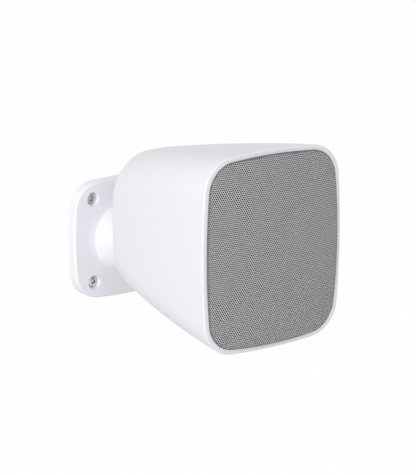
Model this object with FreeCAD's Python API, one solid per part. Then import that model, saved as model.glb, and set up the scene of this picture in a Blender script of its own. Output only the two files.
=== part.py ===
"""Wall speaker on a ball-joint bracket.

The origin is the centre of the wall plate's back face. +Z is up and the wall lies in the XZ plane,
so the speaker looks along -Y. All lengths are millimetres.
"""
import FreeCAD, Part
import math
import os

V = FreeCAD.Vector

# Cabinet: a tapered moulding with bowed sides
front_width = 115.0
front_height = 134.4
rear_width = 77.0
rear_height = 98.8
cabinet_depth = 137.2
rear_drop = 4.3
front_side_bow = 4.0
front_top_bow = 3.6
rear_bow = 3.0
front_corner_radius = 23.8
rear_corner_radius = 33.0
side_bulge = 2.6
top_bulge = 1.4
rear_edge_radius = 10.0
cabinet_wall = 2.6
rim_width = 3.5
rim_round = 1.0
loft_stations = 5

# Front opening: grille, baffle and the ledge that carries them
baffle_recess = 8.0
baffle_thickness = 4.0
seal_thickness = 1.0
ledge_width = 6.0
ledge_thickness = 3.0
baffle_screw_inset = 11.0
baffle_boss_radius = 4.2
baffle_boss_length = 14.0
opening_clearance = 0.15

# Grille: a crowned sheet with its edge turned back
grille_sheet = 1.0
crown_rise = 4.5
crown_side_radius = 452.0
crown_height_radius = 950.0
cloth_thickness = 0.5
cloth_gap = 0.1
crown_margin = 5.0

# Bracket
axis_height = 26.0
plate_width = 87.0
plate_height = 88.0
plate_bow = 3.5
plate_corner_radius = 19.5
plate_thickness = 8.7
plate_front_wall = 3.5
plate_side_wall = 3.0
plate_edge_round = 1.6
plate_rib = 2.4
wall_screw_spacing_x = 54.0
wall_screw_spacing_z = 62.0
wall_screw_boss_radius = 7.6
wall_screw_recess_radius = 5.25
wall_screw_recess_depth = 3.2
wall_screw_head_radius = 3.85
wall_screw_head_edge = 0.6
wall_screw_head_crown = 0.5
wall_screw_clearance = 0.3
wall_screw_radius = 2.0
wall_screw_neck_radius = 1.7
wall_screw_grip = 14.0
neck_gap = 36.3
neck_radius = 26.0
neck_dome_height = 25.0
neck_collar_radius = 9.0
neck_spigot_radius = 12.0
neck_spigot_length = 3.0
neck_hub_radius = 15.0
neck_screw_circle = 20.0
neck_screw_count = 3
neck_screw_pocket_radius = 3.6

# Ball joint inside the lower half of the cabinet's rear
ball_radius = 15.0
ball_inset = 16.2
stem_radius = 7.0
stud_tail_radius = 5.5
stud_tail_length = 16.0
joint_clearance = 0.05
liner_thickness = 2.4
cup_angle = 58.0
cup_hole_angle = 24.0
ring_lip_angle = 57.5
ring_front_angle = 92.0
ring_outer_radius = 20.0
socket_outer_radius = 25.0
socket_lip_thickness = 7.5
socket_mouth_radius = 18.9
socket_throat_radius = 13.7
clamp_flange_thickness = 3.0
clamp_seat_depth = 4.0
clamp_wall = 2.4
clamp_screw_circle = 22.5
clamp_screw_count = 4

# Small fasteners
small_screw_radius = 1.25
small_head_radius = 2.4
small_head_height = 1.8
small_head_edge = 0.7
small_head_top_radius = 1.7
small_screw_length = 10.0
small_screw_point_radius = 0.4
screw_hole_clearance = 0.2
screw_point_space = 1.0

# Cable entry and connection block on the inside of the rear wall
grommet_height = 50.0
grommet_bore_radius = 3.0
grommet_neck_radius = 5.0
grommet_flange_radius = 7.5
grommet_flange_thickness = 2.0
grommet_chamfer = 1.0
block_height = 33.0
block_size_x = 20.0
block_size_y = 9.0
block_size_z = 8.0
block_screw_pitch = 10.0
block_screw_radius = 1.8
block_screw_length = 3.2
block_wire_radius = 1.3
block_floor = 2.0

# Driver, turned about the speaker axis
flange_radius = 46.0
flange_thickness = 1.5
driver_gasket = 1.0
gasket_inset = 0.3
cutout_radius = 38.5
driver_screw_circle = 43.0
driver_screw_count = 4
basket_sheet = 1.2
basket_mouth_radius = 38.0
basket_wall_radius = 37.0
basket_wall_depth = 6.0
basket_floor_radius = 22.7
basket_hole_radius = 12.1
spider_shelf_depth = 19.7
spider_shelf_outer = 28.5
spider_shelf_inner = 23.7
basket_depth = 27.5
basket_window_count = 4
basket_window_angle = 52.0
basket_window_start = 7.5
basket_window_end = 16.0
coil_radius = 9.9
former_wall = 0.3
former_stand = 1.2
former_tail = 1.0
winding_wall = 0.6
winding_length = 7.0
gap_clearance = 0.5
plate_washer_radius = 26.0
plate_washer_thickness = 4.0
magnet_radius = 29.0
magnet_hole_radius = 14.0
magnet_thickness = 12.0
yoke_thickness = 4.5
yoke_chamfer = 1.5
cone_lip_inner = 30.5
cone_lip_outer = 33.5
cone_sheet = 0.7
cone_neck_depth = 14.0
cone_bow_depth = 1.6
surround_sheet = 0.8
surround_lip_inner = 31.5
surround_roll_inner = 32.8
surround_roll_outer = 39.2
surround_lip_outer = 40.4
dust_cap_radius = 12.0
dust_cap_rise = 4.2
spider_sheet = 0.5
spider_waves = 4
spider_wave_height = 1.6
spider_flat = 1.0
tag_board_width = 14.0
tag_board_height = 9.0
tag_board_thickness = 1.6
tag_width = 2.8
tag_thickness = 0.8
tag_length = 9.0
tag_pitch = 7.0
tag_front = 1.0

# Planes and axes that follow from the sizes above
plate_front_y = -plate_thickness
rear_y = plate_front_y - neck_gap
rim_y = rear_y - cabinet_depth
baffle_y = rim_y + baffle_recess
baffle_back_y = baffle_y + baffle_thickness
ledge_y = baffle_back_y + seal_thickness
ball_y = rear_y - ball_inset
grille_width = front_width - 2 * rim_width
grille_height = front_height - 2 * rim_width
grille_corner = front_corner_radius - rim_width
crown_y = rim_y - crown_rise
speaker_axis = (0.0, axis_height)
bracket_axis = (0.0, 0.0)


def arc(start, middle, end):
    return Part.Arc(start, middle, end).toShape()


def bowed_outline(width, height, side_bow, top_bow, corner, y, z):
    """Closed wire in a plane of constant y: a rectangle with bowed sides and round corners."""
    a = width / 2
    b = height / 2
    side_radius = (b * b + side_bow * side_bow) / (2 * side_bow)
    top_radius = (a * a + top_bow * top_bow) / (2 * top_bow)
    side_centre = V(a - side_radius, 0, 0)
    top_centre = V(0, 0, b - top_radius)
    # the corner arc touches both bowed sides from within
    reach_side = side_radius - corner
    reach_top = top_radius - corner
    between = top_centre - side_centre
    span = between.Length
    along = (reach_side ** 2 - reach_top ** 2 + span ** 2) / (2 * span)
    across = math.sqrt(reach_side ** 2 - along ** 2)
    unit = between / span
    normal = V(-unit.z, 0, unit.x)
    centre = side_centre + unit * along + normal * across
    to_side = (centre - side_centre).normalize()
    to_top = (centre - top_centre).normalize()
    side_touch = side_centre + to_side * side_radius
    top_touch = top_centre + to_top * top_radius
    diagonal = centre + (to_side + to_top).normalize() * corner

    def place(point, flip_x, flip_z):
        return V(point.x * flip_x, y, point.z * flip_z + z)

    edges = [
        arc(place(side_touch, 1, -1), V(a, y, z), place(side_touch, 1, 1)),
        arc(place(side_touch, 1, 1), place(diagonal, 1, 1), place(top_touch, 1, 1)),
        arc(place(top_touch, 1, 1), V(0, y, b + z), place(top_touch, -1, 1)),
        arc(place(top_touch, -1, 1), place(diagonal, -1, 1), place(side_touch, -1, 1)),
        arc(place(side_touch, -1, 1), V(-a, y, z), place(side_touch, -1, -1)),
        arc(place(side_touch, -1, -1), place(diagonal, -1, -1), place(top_touch, -1, -1)),
        arc(place(top_touch, -1, -1), V(0, y, z - b), place(top_touch, 1, -1)),
        arc(place(top_touch, 1, -1), place(diagonal, 1, -1), place(side_touch, 1, -1)),
    ]
    return Part.Wire(edges)


def grille_outline(inset, y):
    """The outline of the front opening, drawn in by inset."""
    return bowed_outline(
        grille_width - 2 * inset, grille_height - 2 * inset, front_side_bow, front_top_bow,
        grille_corner - inset, y, axis_height)


def prism(wire, length):
    return Part.Face(wire).extrude(V(0, length, 0))


def cabinet_section(y, inset):
    """Outline of the cabinet at depth y, drawn in by inset."""
    share = (y - rim_y) / cabinet_depth
    swell = 4 * share * (1 - share)

    def blend(front, rear):
        return front + (rear - front) * share

    width = blend(front_width, rear_width) + 2 * side_bulge * swell - 2 * inset
    height = blend(front_height, rear_height) + 2 * top_bulge * swell - 2 * inset
    return bowed_outline(
        width, height, blend(front_side_bow, rear_bow), blend(front_top_bow, rear_bow),
        blend(front_corner_radius, rear_corner_radius) - inset, y, axis_height - rear_drop * share)


def cabinet_loft(y_front, y_back, inset, front_round, rear_round):
    """Tapered body between two planes, its front and rear edges rounded."""
    main_front = y_front + front_round
    main_back = y_back - rear_round
    step = (main_back - main_front) / (loft_stations - 1)
    wires = [cabinet_section(main_front + i * step, inset) for i in range(loft_stations)]
    body = Part.makeLoft(wires, True, False)
    for start, radius, way in ((main_front, front_round, -1), (main_back, rear_round, 1)):
        if radius <= 0:
            continue
        wires = []
        for i in range(loft_stations):
            angle = math.pi / 2 * i / (loft_stations - 1)
            y = start + way * radius * math.sin(angle)
            wires.append(cabinet_section(y, inset + radius * (1 - math.cos(angle))))
        body = body.fuse(Part.makeLoft(wires, True, False))
    return body


def edges_in_plane(shape, y, tolerance=0.01):
    """Edges that lie wholly in the plane of the given y."""
    found = []
    for edge in shape.Edges:
        box = edge.BoundBox
        if abs(box.YMin - y) < tolerance and abs(box.YMax - y) < tolerance:
            found.append(edge)
    return found


def turned(steps, axis=speaker_axis):
    """Solid of revolution about a line along Y.

    steps are (radius, y) corners; a pair of them stands for an arc through the first to the second.
    """
    x0, z0 = axis

    def point(corner):
        return V(x0 + corner[0], corner[1], z0)

    edges = []
    here = point(steps[0])
    for step in list(steps[1:]) + [steps[0]]:
        if isinstance(step[0], tuple):
            middle = point(step[0])
            there = point(step[1])
            edges.append(arc(here, middle, there))
        else:
            there = point(step)
            if here.distanceToPoint(there) < 1e-7:
                continue
            edges.append(Part.LineSegment(here, there).toShape())
        here = there
    face = Part.Face(Part.Wire(edges))
    return face.revolve(V(x0, 0, z0), V(0, 1, 0), 360)


def rod(radius, y_start, y_end, axis):
    return Part.makeCylinder(radius, y_end - y_start, V(axis[0], y_start, axis[1]), V(0, 1, 0))


def block(size, centre):
    corner = V(centre[0] - size[0] / 2, centre[1] - size[1] / 2, centre[2] - size[2] / 2)
    return Part.makeBox(size[0], size[1], size[2], corner)


def around(count, radius, start_angle, axis):
    """Axes of a circular pattern, as (x, z) pairs."""
    places = []
    for i in range(count):
        angle = math.radians(start_angle + i * 360.0 / count)
        places.append((axis[0] + radius * math.cos(angle), axis[1] + radius * math.sin(angle)))
    return places


def on_ball(radius, angle):
    """(r, y) of a point on a sphere about the ball's centre, angle measured from the front."""
    return (radius * math.sin(math.radians(angle)), ball_y - radius * math.cos(math.radians(angle)))


def small_screw(axis, seat_y, direction, length=small_screw_length):
    """Pan-head screw whose head rests on seat_y; direction is the way its point goes along Y."""
    top = seat_y - direction * small_head_height
    shoulder = seat_y - direction * small_head_edge
    tip = seat_y + direction * length
    bevel = tip - direction * small_screw_radius
    return turned(
        [(0, top), (small_head_top_radius, top), (small_head_radius, shoulder),
         (small_head_radius, seat_y), (small_screw_radius, seat_y), (small_screw_radius, bevel),
         (small_screw_point_radius, tip), (0, tip)], axis)


def screw_hole(axis, y_start, y_end, extra=0.0):
    return rod(small_screw_radius + extra, y_start, y_end, axis)


baffle_screw_axes = [
    (sx * (grille_width / 2 - baffle_screw_inset),
     axis_height + sz * (grille_height / 2 - baffle_screw_inset))
    for sx in (-1, 1) for sz in (-1, 1)]
wall_screw_axes = [
    (sx * wall_screw_spacing_x / 2, sz * wall_screw_spacing_z / 2)
    for sx in (-1, 1) for sz in (-1, 1)]
neck_screw_axes = around(neck_screw_count, neck_screw_circle, 90, bracket_axis)
clamp_screw_axes = around(clamp_screw_count, clamp_screw_circle, 45, bracket_axis)
driver_screw_axes = around(driver_screw_count, driver_screw_circle, 45, speaker_axis)
socket_front_y = ball_y - clamp_seat_depth
socket_bore_radius = ring_outer_radius + joint_clearance
socket_floor_y = rear_y - socket_lip_thickness
inner_rear_y = rear_y - cabinet_wall
grommet_axis = (0.0, grommet_height)
pieces = {}


def make_cabinet():
    outer = cabinet_loft(rim_y, rear_y, 0.0, rim_round, rear_edge_radius)
    opening = prism(grille_outline(-opening_clearance, rim_y), ledge_y - rim_y)
    ledge_hole = prism(grille_outline(ledge_width, ledge_y), ledge_thickness)
    inner_round = rear_edge_radius - cabinet_wall
    cavity = cabinet_loft(ledge_y + ledge_thickness, inner_rear_y, cabinet_wall, 0.0, inner_round)
    # the socket and the screw posts are left standing in the cavity
    cavity = cavity.cut(rod(socket_outer_radius, socket_front_y, rear_y, bracket_axis))
    for axis in baffle_screw_axes:
        cavity = cavity.cut(rod(baffle_boss_radius, ledge_y, ledge_y + baffle_boss_length, axis))
        ledge_hole = ledge_hole.cut(rod(baffle_boss_radius, ledge_y, ledge_y + ledge_thickness, axis))
    shell = outer.cut(opening).cut(ledge_hole).cut(cavity)
    mouth = turned(
        [(0, rear_y), (socket_mouth_radius, rear_y), (socket_throat_radius, socket_floor_y),
         (socket_bore_radius, socket_floor_y), (socket_bore_radius, socket_front_y),
         (0, socket_front_y)], bracket_axis)
    shell = shell.cut(mouth)
    for axis in baffle_screw_axes:
        point_y = baffle_back_y + small_screw_length
        shell = shell.cut(screw_hole(axis, ledge_y, point_y + screw_point_space))
    for axis in clamp_screw_axes:
        point_y = socket_front_y - clamp_flange_thickness + small_screw_length
        shell = shell.cut(screw_hole(axis, socket_front_y, point_y + screw_point_space))
    shell = shell.cut(rod(grommet_neck_radius, inner_rear_y, rear_y, grommet_axis))
    pieces["cabinet_shell"] = shell


def crown_solid(setback, y_back):
    """Everything between the crowned front, set back by setback, and the plane y_back."""
    front = crown_y + setback
    side_radius = crown_side_radius - setback
    height_radius = crown_height_radius - setback
    half = grille_height / 2 + crown_margin
    drop = height_radius - math.sqrt(height_radius ** 2 - half ** 2)
    pivot_y = front + side_radius
    top = V(0, front + drop, axis_height + half)
    bottom = V(0, front + drop, axis_height - half)
    edges = [
        arc(bottom, V(0, front, axis_height), top),
        Part.LineSegment(top, V(0, pivot_y, axis_height + half)).toShape(),
        Part.LineSegment(V(0, pivot_y, axis_height + half), V(0, pivot_y, axis_height - half)).toShape(),
        Part.LineSegment(V(0, pivot_y, axis_height - half), bottom).toShape(),
    ]
    sector = 2 * math.degrees(math.asin((grille_width / 2 + crown_margin) / side_radius))
    face = Part.Face(Part.Wire(edges))
    face.rotate(V(0, pivot_y, 0), V(0, 0, 1), -sector / 2)
    wedge = face.revolve(V(0, pivot_y, 0), V(0, 0, 1), sector)
    reach = 2 * grille_width
    keep = Part.makeBox(reach, y_back - front + crown_margin, 4 * half,
                        V(-reach / 2, front - crown_margin, axis_height - 2 * half))
    return wedge.common(keep)


def make_grille():
    front = crown_y - grille_sheet
    outer = prism(grille_outline(0.0, front), baffle_y - front).common(crown_solid(0.0, baffle_y))
    inner = prism(grille_outline(grille_sheet, front), baffle_y - front)
    inner = inner.common(crown_solid(grille_sheet, baffle_y))
    pieces["grille"] = outer.cut(inner)
    cloth_front = grille_sheet + cloth_gap
    edge = grille_sheet + 2 * cloth_gap
    cloth_back_y = rim_y + baffle_recess / 2
    cloth = prism(grille_outline(edge, front), cloth_back_y - front)
    cloth_outer = cloth.common(crown_solid(cloth_front, cloth_back_y))
    cloth_inner = cloth.common(crown_solid(cloth_front + cloth_thickness, cloth_back_y))
    pieces["grille_cloth"] = cloth_outer.cut(cloth_inner)


def make_baffle():
    board = prism(grille_outline(0.0, baffle_y), baffle_thickness)
    board = board.cut(rod(cutout_radius, baffle_y, baffle_back_y, speaker_axis))
    seal = prism(grille_outline(0.0, baffle_back_y), seal_thickness)
    seal = seal.cut(prism(grille_outline(ledge_width, baffle_back_y), seal_thickness))
    screws = []
    for axis in baffle_screw_axes:
        board = board.cut(screw_hole(axis, baffle_y, baffle_back_y, screw_hole_clearance))
        eye = rod(baffle_boss_radius, baffle_back_y, ledge_y, axis)
        seal = seal.fuse(eye.common(prism(grille_outline(0.0, baffle_back_y), seal_thickness)))
        screws.append(small_screw(axis, baffle_y, 1, small_screw_length + baffle_thickness))
    for axis in baffle_screw_axes:
        seal = seal.cut(screw_hole(axis, baffle_back_y, ledge_y, screw_hole_clearance))
    for axis in driver_screw_axes:
        board = board.cut(screw_hole(axis, baffle_y, baffle_back_y))
    pieces["baffle"] = board
    pieces["baffle_seal"] = seal.removeSplitter()
    pieces["baffle_screws"] = Part.makeCompound(screws)


def make_driver():
    def at(depth):
        return baffle_y + depth

    flange_back = at(-driver_gasket)
    flange_front = flange_back - flange_thickness
    shelf = at(spider_shelf_depth)
    basket = turned([
        (flange_radius, flange_front), (flange_radius, flange_back),
        (basket_mouth_radius, flange_back), (basket_wall_radius, at(basket_wall_depth)),
        (spider_shelf_outer, shelf), (spider_shelf_inner, shelf),
        (basket_floor_radius, at(basket_depth)), (basket_hole_radius, at(basket_depth)),
        (basket_hole_radius, at(basket_depth - basket_sheet)),
        (basket_floor_radius - basket_sheet, at(basket_depth - basket_sheet)),
        (spider_shelf_inner - basket_sheet, shelf - basket_sheet),
        (spider_shelf_outer - basket_sheet / 2, shelf - basket_sheet),
        (basket_wall_radius - basket_sheet, at(basket_wall_depth - basket_sheet / 2)),
        (basket_mouth_radius - basket_sheet, flange_front)])
    window = Part.Face(Part.makePolygon([
        V(spider_shelf_inner, at(basket_window_start), axis_height),
        V(flange_radius, at(basket_window_start), axis_height),
        V(flange_radius, at(basket_window_end), axis_height),
        V(spider_shelf_inner, at(basket_window_end), axis_height),
        V(spider_shelf_inner, at(basket_window_start), axis_height)]))
    axis_base = V(0, 0, axis_height)
    sector = window.revolve(axis_base, V(0, 1, 0), basket_window_angle)
    for i in range(basket_window_count):
        opening = sector.copy()
        turn = i * 360.0 / basket_window_count
        opening.rotate(axis_base, V(0, 1, 0), turn - basket_window_angle / 2)
        basket = basket.cut(opening)
    gasket = turned([
        (cutout_radius + gasket_inset, flange_back), (flange_radius, flange_back),
        (flange_radius, baffle_y), (cutout_radius + gasket_inset, baffle_y)])
    screws = []
    for axis in driver_screw_axes:
        basket = basket.cut(screw_hole(axis, flange_front, flange_back, screw_hole_clearance))
        gasket = gasket.cut(screw_hole(axis, flange_back, baffle_y, screw_hole_clearance))
        screws.append(small_screw(axis, flange_front, 1, flange_thickness + driver_gasket + baffle_thickness))
    pieces["driver_basket"] = basket
    pieces["driver_gasket"] = gasket
    pieces["driver_screws"] = Part.makeCompound(screws)

    # magnet system, stacked behind the basket
    washer_front = at(basket_depth)
    washer_back = washer_front + plate_washer_thickness
    magnet_back = washer_back + magnet_thickness
    pole_radius = coil_radius - former_wall - gap_clearance
    washer_hole = coil_radius + winding_wall + gap_clearance
    pieces["top_plate"] = turned([
        (washer_hole, washer_front), (plate_washer_radius, washer_front),
        (plate_washer_radius, washer_back), (washer_hole, washer_back)])
    pieces["magnet"] = turned([
        (magnet_hole_radius, washer_back), (magnet_radius, washer_back),
        (magnet_radius, magnet_back), (magnet_hole_radius, magnet_back)])
    yoke_back = magnet_back + yoke_thickness
    pieces["pole_yoke"] = turned([
        (0, washer_front), (pole_radius, washer_front), (pole_radius, magnet_back),
        (plate_washer_radius, magnet_back), (plate_washer_radius, yoke_back - yoke_chamfer),
        (plate_washer_radius - yoke_chamfer, yoke_back), (0, yoke_back)])

    # moving system
    coil_inner = coil_radius - former_wall
    former_front = at(cone_neck_depth - former_stand)
    winding_middle = (washer_front + washer_back) / 2
    winding_front = winding_middle - winding_length / 2
    winding_back = winding_middle + winding_length / 2
    former_back = winding_back + former_tail
    pieces["coil_former"] = turned([
        (coil_inner, former_front), (coil_radius, former_front),
        (coil_radius, former_back), (coil_inner, former_back)])
    pieces["coil_winding"] = turned([
        (coil_radius, winding_front), (coil_radius + winding_wall, winding_front),
        (coil_radius + winding_wall, winding_back), (coil_radius, winding_back)])
    lip_front = flange_front
    neck = at(cone_neck_depth)
    middle_radius = (cone_lip_inner + coil_radius) / 2
    cone_bow = (middle_radius + cone_bow_depth, (lip_front + neck) / 2 + cone_bow_depth)
    slant = cone_sheet * math.sqrt(0.5)
    cone_bow_back = (cone_bow[0] + slant, cone_bow[1] + slant)
    pieces["cone"] = turned([
        (cone_lip_outer, lip_front), (cone_lip_outer, lip_front + cone_sheet),
        (cone_lip_inner + cone_sheet, lip_front + cone_sheet),
        (cone_bow_back, (coil_radius + cone_sheet, neck)),
        (coil_radius, neck), (coil_radius, neck - cone_sheet),
        (cone_bow, (cone_lip_inner, lip_front))])
    roll_middle = (surround_roll_inner + surround_roll_outer) / 2
    roll_height = (surround_roll_outer - surround_roll_inner) / 2
    lip_top = lip_front - surround_sheet
    pieces["surround"] = turned([
        (surround_lip_inner, lip_front), (surround_lip_inner, lip_top), (surround_roll_inner, lip_top),
        ((roll_middle, lip_top - roll_height), (surround_roll_outer, lip_top)),
        (surround_lip_outer, lip_top), (surround_lip_outer, lip_front),
        (surround_roll_outer - surround_sheet, lip_front),
        ((roll_middle, lip_front - roll_height), (surround_roll_inner + surround_sheet, lip_front))])
    # the dust cap is a spherical dome whose edge stands on the cone
    cone_edge = arc(V(coil_radius, neck - cone_sheet, 0), V(*cone_bow, 0), V(cone_lip_inner, lip_front, 0))
    cone_circle = cone_edge.Curve
    rise_to_cap = math.sqrt(cone_circle.Radius ** 2 - (dust_cap_radius - cone_circle.Center.x) ** 2)
    cap_edge = cone_circle.Center.y + rise_to_cap
    cap_sphere = (dust_cap_radius ** 2 + dust_cap_rise ** 2) / (2 * dust_cap_rise)
    cap_centre = cap_edge + cap_sphere - dust_cap_rise
    cap_angle = math.asin(dust_cap_radius / cap_sphere)
    inner_sphere = cap_sphere - cone_sheet
    inner_edge = math.sqrt(inner_sphere ** 2 - (cap_centre - cap_edge) ** 2)
    inner_angle = math.asin(inner_edge / inner_sphere)

    def on_cap(radius, angle):
        return (radius * math.sin(angle), cap_centre - radius * math.cos(angle))

    pieces["dust_cap"] = turned([
        on_cap(cap_sphere, 0), (on_cap(cap_sphere, cap_angle / 2), (dust_cap_radius, cap_edge)),
        (inner_edge, cap_edge), (on_cap(inner_sphere, inner_angle / 2), on_cap(inner_sphere, 0))])
    pieces["spider"] = make_spider(shelf - basket_sheet)

    # tag board under the basket's shelf
    board_z = axis_height - spider_shelf_inner - tag_board_height / 2
    board_y = shelf + tag_board_thickness / 2
    board = block((tag_board_width, tag_board_thickness, tag_board_height), (0, board_y, board_z))
    tags = []
    for side in (-1, 1):
        centre = (side * tag_pitch / 2, shelf + tag_length / 2 - tag_front, board_z - tag_board_height / 4)
        tag = block((tag_width, tag_length, tag_thickness), centre)
        board = board.cut(tag)
        tags.append(tag)
    pieces["tag_board"] = board
    pieces["terminal_tags"] = Part.makeCompound(tags)


def make_spider(seat_y):
    """Corrugated ring from the coil former out to the basket's shelf."""
    front = seat_y - spider_sheet
    inner = coil_radius
    wave_end = spider_shelf_inner - basket_sheet
    half_wave = (wave_end - inner - 2 * spider_flat) / (2 * spider_waves)
    forward = []
    backward = []
    for i in range(2 * spider_waves):
        crest = inner + spider_flat + (i + 0.5) * half_wave
        lift = spider_wave_height / 2 * (1 if i % 2 else -1)
        forward.append((crest, front + lift))
        backward.insert(0, (crest, seat_y + lift))
    lip = spider_shelf_outer - basket_sheet
    return turned(
        [(inner, front), (inner + spider_flat, front)] + forward
        + [(wave_end - spider_flat, front), (lip, front), (lip, seat_y), (wave_end - spider_flat, seat_y)]
        + backward + [(inner + spider_flat, seat_y), (inner, seat_y)])


def make_ball_joint():
    ball_seat = ball_radius + joint_clearance
    liner_outer = ball_seat + liner_thickness
    clamp_seat = liner_outer + joint_clearance
    middle = (cup_angle + cup_hole_angle) / 2
    pieces["friction_cup"] = turned([
        on_ball(ball_seat, cup_hole_angle), (on_ball(ball_seat, middle), on_ball(ball_seat, cup_angle)),
        on_ball(liner_outer, cup_angle),
        (on_ball(liner_outer, middle), on_ball(liner_outer, cup_hole_angle))], bracket_axis)
    lip = on_ball(ball_seat, 180 - ring_lip_angle)
    front = on_ball(ball_seat, 180 - ring_front_angle)
    ring_back = socket_floor_y - joint_clearance
    pieces["friction_ring"] = turned([
        lip, (on_ball(ball_seat, 180 - (ring_lip_angle + ring_front_angle) / 2), front),
        (ring_outer_radius, front[1]), (ring_outer_radius, ring_back),
        (socket_throat_radius, ring_back)], bracket_axis)
    flange_front = socket_front_y - clamp_flange_thickness
    seat_edge = math.degrees(math.acos(clamp_seat_depth / clamp_seat))
    crown = clamp_seat + clamp_wall
    crown_edge = math.degrees(math.acos((clamp_seat_depth + clamp_flange_thickness) / crown))
    clamp = turned([
        on_ball(clamp_seat, 0), (on_ball(clamp_seat, seat_edge / 2), on_ball(clamp_seat, seat_edge)),
        (socket_outer_radius, socket_front_y), (socket_outer_radius, flange_front),
        on_ball(crown, crown_edge), (on_ball(crown, crown_edge / 2), on_ball(crown, 0))], bracket_axis)
    screws = []
    for axis in clamp_screw_axes:
        head_y = flange_front - 2 * small_head_height
        clamp = clamp.cut(screw_hole(axis, flange_front, socket_front_y, screw_hole_clearance))
        clamp = clamp.cut(rod(small_head_radius + screw_hole_clearance, head_y, flange_front, axis))
        screws.append(small_screw(axis, flange_front, 1))
    pieces["socket_clamp"] = clamp
    pieces["clamp_screws"] = Part.makeCompound(screws)

    stem_start = math.degrees(math.asin(stem_radius / ball_radius))
    shoulder_y = plate_front_y - neck_dome_height
    tail_y = shoulder_y + stud_tail_length
    pieces["ball_stud"] = turned([
        on_ball(ball_radius, 0), (on_ball(ball_radius, 90), on_ball(ball_radius, 180 - stem_start)),
        (stem_radius, shoulder_y), (stud_tail_radius, shoulder_y), (stud_tail_radius, tail_y),
        (0, tail_y)], bracket_axis)


def make_bracket():
    shoulder_y = plate_front_y - neck_dome_height
    tail_y = shoulder_y + stud_tail_length
    dome_rise = math.sqrt(1.0 - (neck_collar_radius / neck_radius) ** 2)
    dome_top_y = plate_front_y - neck_dome_height * dome_rise
    side = math.sqrt(0.5)
    neck = turned([
        (0, shoulder_y), (neck_collar_radius, shoulder_y), (neck_collar_radius, dome_top_y),
        ((neck_radius * side, plate_front_y - neck_dome_height * side), (neck_radius, plate_front_y)),
        (neck_spigot_radius, plate_front_y), (neck_spigot_radius, plate_front_y + neck_spigot_length),
        (0, plate_front_y + neck_spigot_length)], bracket_axis)
    neck = neck.cut(rod(stud_tail_radius, shoulder_y, tail_y, bracket_axis))
    inner_front_y = plate_front_y + plate_front_wall

    body = prism(bowed_outline(
        plate_width, plate_height, plate_bow, plate_bow, plate_corner_radius, plate_front_y, 0.0),
        plate_thickness)
    body = body.makeFillet(plate_edge_round, edges_in_plane(body, plate_front_y))
    hollow = prism(bowed_outline(
        plate_width - 2 * plate_side_wall, plate_height - 2 * plate_side_wall, plate_bow, plate_bow,
        plate_corner_radius - plate_side_wall, inner_front_y, 0.0), -inner_front_y)
    # posts, hub and ribs stay standing in the hollow back
    hollow = hollow.cut(rod(neck_hub_radius, inner_front_y, 0.0, bracket_axis))
    hub_to_edge = plate_width + plate_height
    for turn in (0, 90):
        rib = block((hub_to_edge, -inner_front_y, plate_rib), (0, inner_front_y / 2, 0))
        rib.rotate(V(0, 0, 0), V(0, 1, 0), turn)
        hollow = hollow.cut(rib)
    for axis in wall_screw_axes:
        hollow = hollow.cut(rod(wall_screw_boss_radius, inner_front_y, 0.0, axis))
    for axis in neck_screw_axes:
        hollow = hollow.fuse(rod(neck_screw_pocket_radius, inner_front_y, 0.0, axis))
    body = body.cut(hollow)
    body = body.cut(rod(neck_spigot_radius, plate_front_y, plate_front_y + neck_spigot_length, bracket_axis))

    wall_screws = []
    seat_y = plate_front_y + wall_screw_recess_depth
    cone_y = seat_y + wall_screw_head_radius - wall_screw_radius
    neck_y = seat_y + wall_screw_head_radius - wall_screw_neck_radius
    for axis in wall_screw_axes:
        recess = turned([
            (0, plate_front_y), (wall_screw_recess_radius, plate_front_y),
            (wall_screw_head_radius + wall_screw_clearance, seat_y),
            (wall_screw_radius + wall_screw_clearance, cone_y),
            (wall_screw_radius + wall_screw_clearance, 0), (0, 0)], axis)
        body = body.cut(recess)
        top = seat_y - wall_screw_head_edge
        crown = top - wall_screw_head_crown
        quarter = (wall_screw_head_radius / 2, top - 0.75 * wall_screw_head_crown)
        wall_screws.append(turned([
            (0, crown), (quarter, (wall_screw_head_radius, top)), (wall_screw_head_radius, seat_y),
            (wall_screw_neck_radius, neck_y), (wall_screw_neck_radius, 0), (wall_screw_radius, 0),
            (wall_screw_radius, wall_screw_grip - 2 * wall_screw_radius), (0, wall_screw_grip)], axis))
    neck_screws = []
    for axis in neck_screw_axes:
        body = body.cut(screw_hole(axis, plate_front_y, inner_front_y, screw_hole_clearance))
        point_y = inner_front_y - small_screw_length
        neck = neck.cut(screw_hole(axis, point_y - screw_point_space, plate_front_y))
        neck_screws.append(small_screw(axis, inner_front_y, -1))
    pieces["wall_plate"] = body
    pieces["wall_screws"] = Part.makeCompound(wall_screws)
    pieces["neck"] = neck
    pieces["neck_screws"] = Part.makeCompound(neck_screws)


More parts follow.
